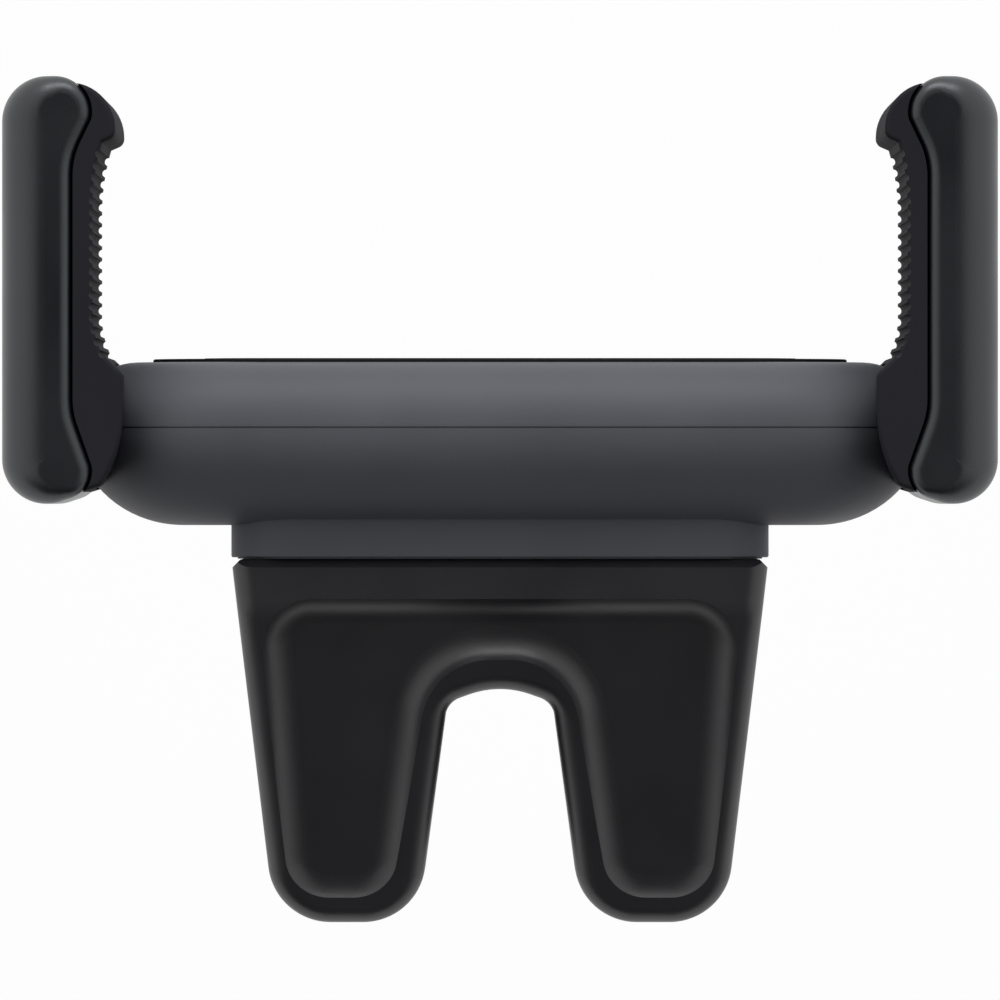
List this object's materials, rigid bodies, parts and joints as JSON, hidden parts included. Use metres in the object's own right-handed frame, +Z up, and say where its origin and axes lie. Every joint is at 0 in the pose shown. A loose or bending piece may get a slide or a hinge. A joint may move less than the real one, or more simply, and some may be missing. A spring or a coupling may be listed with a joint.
{
  "type": "air vent phone holder",
  "caption": "Phone holder with two sprung side arms geared together, on a swivel and a sprung two-prong clip for a car's air vent blade.",
  "frame": {"origin": "middle of the blade slot between the clip's two jaws", "axes": "+X across (left arm at -X), +Y from the driver into the vent, +Z up"},
  "size_m": [0.077, 0.0657, 0.04],
  "materials": {
    "clip": "satin moulded black",
    "jaw_rubber": "matt",
    "steel": "zinc plated",
    "insert_brass": "turned",
    "shell": "satin moulded dark grey",
    "face_pad": "matt",
    "arm_shell": "satin moulded dark grey",
    "grip": "matt",
    "rack_plastic": "moulded black",
    "gear_plastic": "moulded natural white"
  },
  "bodies": {
    "clip_base": {"clip_body": "clip", "upper_jaw_pads": "jaw_rubber", "jaw_pin": "steel", "jaw_spring": "steel", "swivel_bolt": "steel", "swivel_insert": "insert_brass", "swivel_washer": "steel", "wave_washer": "steel"},
    "lower_jaw": {"lower_jaw": "clip", "lower_jaw_pads": "jaw_rubber"},
    "holder": {"rear_shell": "shell", "front_shell": "shell", "front_pad": "face_pad", "shell_screws": "steel", "rack_cover": "rack_plastic", "rack_cover_screws": "steel", "pinion_pin": "steel", "left_return_spring": "steel", "right_return_spring": "steel"},
    "left_arm": {"left_rack_arm": "rack_plastic", "left_arm_cover": "arm_shell", "left_grip_liner": "grip", "left_arm_screws": "steel"},
    "right_arm": {"right_rack_arm": "rack_plastic", "right_arm_cover": "arm_shell", "right_grip_liner": "grip", "right_arm_screws": "steel"},
    "pinion": {"pinion": "gear_plastic"}
  },
  "joints": [
    {"name": "jaw_hinge", "type": "hinge", "parent": "clip_base", "child": "lower_jaw", "pos_m": [0, -0.0116, -0.005], "axis": [-1, 0, 0], "range_deg": [0, 14], "stiffness_Nm_per_rad": 0.5, "springref_deg": -17.19, "deforming": ["jaw_spring"]},
    {"name": "holder_swivel", "type": "hinge", "parent": "clip_base", "child": "holder", "pos_m": [0, -0.01836, 0], "axis": [0, 1, 0], "continuous": true},
    {"name": "left_arm_slide", "type": "slide", "parent": "holder", "child": "left_arm", "axis": [-1, 0, 0], "range_m": [0, 0.014], "stiffness_N_per_m": 150, "springref_m": -0.02, "deforming": ["left_return_spring"]},
    {"name": "right_arm_slide", "type": "slide", "parent": "holder", "child": "right_arm", "axis": [1, 0, 0], "range_m": [0, 0.014], "stiffness_N_per_m": 150, "springref_m": -0.02, "deforming": ["right_return_spring"]},
    {"name": "pinion_spin", "type": "hinge", "parent": "holder", "child": "pinion", "pos_m": [0, -0.02951, 0], "axis": [0, -1, 0], "range_deg": [0, 146]}
  ],
  "couplings": [
    {"joint": "right_arm_slide", "follows": "left_arm_slide", "ratio": 1},
    {"joint": "pinion_spin", "follows": "left_arm_slide", "rad_per_m": 178.57}
  ]
}
